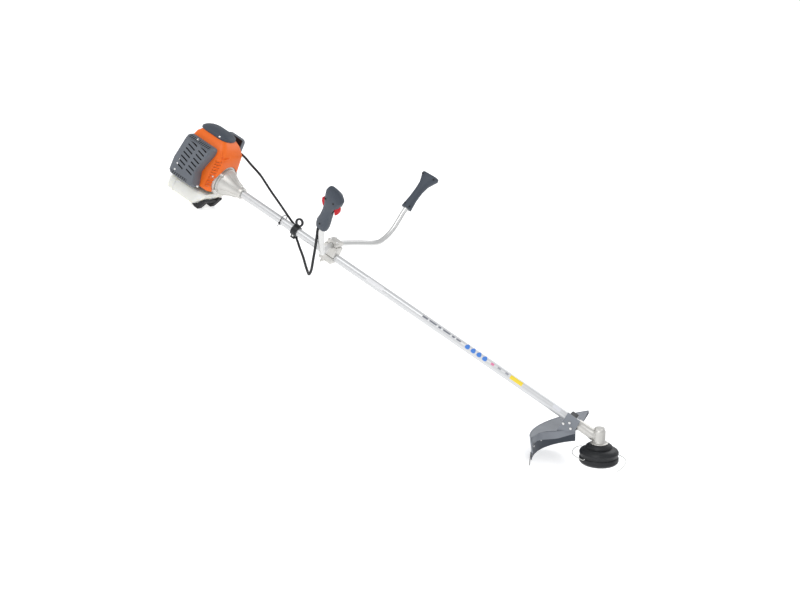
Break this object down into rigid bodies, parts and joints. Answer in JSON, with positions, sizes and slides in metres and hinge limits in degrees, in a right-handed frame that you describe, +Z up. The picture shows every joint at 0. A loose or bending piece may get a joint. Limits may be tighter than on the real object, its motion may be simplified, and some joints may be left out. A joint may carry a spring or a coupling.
{
  "type": "string trimmer",
  "caption": "Petrol string trimmer: rear engine, straight aluminium shaft, wide two-grip handlebar, angled gearbox, bump-feed line head and curved guard with skirt.",
  "frame": {"origin": "middle of the base of the bounding box, on the floor the machine lies on", "axes": "+X from the engine to the cutting head, +Y to the operator's left, +Z up"},
  "size_m": [1.868, 0.7762, 0.4889],
  "materials": {
    "black": "matte moulded",
    "bronze": "machined",
    "cast": "satin cast",
    "clear": "clear flexible",
    "dark_steel": "dark pressed and turned steel",
    "foam": "open-cell foam",
    "grey": "satin moulded",
    "nylon": "extruded cord",
    "orange": "glossy moulded",
    "red": "glossy moulded",
    "rubber": "matte rubber",
    "slate": "fine matte moulded",
    "steel": "bright ground",
    "tank": "translucent moulded",
    "tube": "satin drawn"
  },
  "bodies": {
    "machine": {"carburettor": "cast", "clamp_cap": "cast", "clamp_lower": "cast", "clamp_middle": "cast", "clutch_housing": "cast", "crankcase": "cast", "cylinder": "cast", "cylinder_cover": "orange", "fan_housing": "cast", "filter_base": "black", "filter_cover": "grey", "filter_element": "foam", "fuel_tank": "tank", "gearbox": "cast", "guard": "black", "guard_bracket": "black", "handlebar": "tube", "harness_hanger": "black", "left_grip": "slate", "line_knife": "steel", "muffler": "dark_steel", "muffler_guard": "grey", "shaft_bushing_1": "bronze", "shaft_bushing_2": "bronze", "shaft_tube": "tube", "skirt": "slate", "spark_plug": "clear", "stand": "rubber", "starter_housing": "slate", "throttle_conduit": "black", "throttle_grip_left_half": "slate", "throttle_grip_right_half": "slate", "top_cover": "slate"},
    "crank": {"crank_front": "steel", "crank_rear": "steel", "flywheel": "cast"},
    "shoe_left": {"clutch_shoe_left": "dark_steel"},
    "shoe_right": {"clutch_shoe_right": "dark_steel"},
    "piston_and_rod": {"piston": "cast", "connecting_rod": "steel"},
    "drive_line": {"clutch_drum": "dark_steel", "drive_shaft": "steel", "pinion": "dark_steel"},
    "cutting_head": {"spindle": "steel", "output_flange": "cast", "head_upper": "black", "head_lower": "black", "line_end_left": "nylon", "line_end_right": "nylon"},
    "tap": {"tap_knob": "black"},
    "line_spool": {"spool": "black"},
    "primer": {"primer_bulb": "clear"},
    "choke": {"choke_lever": "black"},
    "tank_cap": {"fuel_cap": "black"},
    "filter_screw": {"filter_knob": "black"},
    "pull_handle": {"starter_handle": "black"},
    "pulley": {"starter_pulley": "black"},
    "trigger": {"throttle_trigger": "red"},
    "lockout": {"throttle_lockout": "red"},
    "switch": {"stop_switch": "black"}
  },
  "joints": [
    {"name": "crank_spin", "type": "hinge", "parent": "machine", "child": "crank", "pos_m": [-0.85959, -0.0014, 0.12354], "axis": [0.9995, 0, 0.0317], "continuous": true},
    {"name": "piston_stroke", "type": "slide", "parent": "machine", "child": "piston_and_rod", "axis": [-0.0317, 0, 0.9995], "range_m": [-0.03, 0]},
    {"name": "shoe_left_out", "type": "slide", "parent": "crank", "child": "shoe_left", "axis": [0, 1, 0], "range_m": [0, 0.0015], "stiffness_N_per_m": 8000},
    {"name": "shoe_right_out", "type": "slide", "parent": "crank", "child": "shoe_right", "axis": [0, -1, 0], "range_m": [0, 0.0015], "stiffness_N_per_m": 8000},
    {"name": "drive_spin", "type": "hinge", "parent": "machine", "child": "drive_line", "pos_m": [-0.66589, -0.0014, 0.12969], "axis": [0.9995, 0, 0.0317], "continuous": true},
    {"name": "head_spin", "type": "hinge", "parent": "machine", "child": "cutting_head", "pos_m": [0.82535, -0.0014, 0.17705], "axis": [-0.5138, 0, 0.8579], "continuous": true},
    {"name": "tap_press", "type": "slide", "parent": "cutting_head", "child": "tap", "axis": [-0.5138, 0, 0.8579], "range_m": [0, 0.006], "stiffness_N_per_m": 800, "springref_m": -0.002},
    {"name": "spool_feed", "type": "hinge", "parent": "tap", "child": "line_spool", "pos_m": [0.85439, -0.0014, 0.12858], "axis": [-0.5138, 0, 0.8579], "continuous": true},
    {"name": "primer_press", "type": "slide", "parent": "machine", "child": "primer", "axis": [-0.0317, 0, 0.9995], "range_m": [0, 0.0035], "stiffness_N_per_m": 300, "springref_m": -0.001},
    {"name": "choke_turn", "type": "hinge", "parent": "machine", "child": "choke", "pos_m": [-0.88024, 0.0696, 0.19092], "axis": [-0.9995, 0, -0.0317], "range_deg": [0, 60]},
    {"name": "fuel_cap_turn", "type": "hinge", "parent": "machine", "child": "tank_cap", "pos_m": [-0.89114, 0.0726, 0.03299], "axis": [0, 1, 0], "range_deg": [0, 360]},
    {"name": "filter_knob_turn", "type": "hinge", "parent": "machine", "child": "filter_screw", "pos_m": [-0.83756, 0.1076, 0.21728], "axis": [0, 1, 0], "range_deg": [0, 360]},
    {"name": "starter_pull", "type": "slide", "parent": "machine", "child": "pull_handle", "axis": [-0.0317, 0, 0.9995], "range_m": [0, 0.6], "stiffness_N_per_m": 6, "springref_m": -0.5},
    {"name": "starter_wind", "type": "hinge", "parent": "machine", "child": "pulley", "pos_m": [-0.92096, -0.0014, 0.12159], "axis": [0.9995, 0, 0.0317], "range_deg": [0, 1570]},
    {"name": "trigger_pull", "type": "hinge", "parent": "machine", "child": "trigger", "pos_m": [-0.18169, -0.35434, 0.4397], "axis": [0.0378, 0.891, 0.4524], "range_deg": [0, 20], "stiffness_Nm_per_rad": 0.15, "springref_deg": -17.19},
    {"name": "lockout_press", "type": "hinge", "parent": "machine", "child": "lockout", "pos_m": [-0.2099, -0.34026, 0.41435], "axis": [0.0378, 0.891, 0.4524], "range_deg": [0, 10], "stiffness_Nm_per_rad": 0.08, "springref_deg": -17.19},
    {"name": "stop_switch_press", "type": "slide", "parent": "machine", "child": "switch", "axis": [-0.0378, -0.891, -0.4524], "range_m": [0, 0.002], "stiffness_N_per_m": 400, "springref_m": -0.001}
  ],
  "couplings": [
    {"joint": "shoe_right_out", "follows": "shoe_left_out", "ratio": 1},
    {"joint": "head_spin", "follows": "drive_spin", "ratio": -0.73684},
    {"joint": "starter_wind", "follows": "starter_pull", "rad_per_m": 45.455}
  ]
}
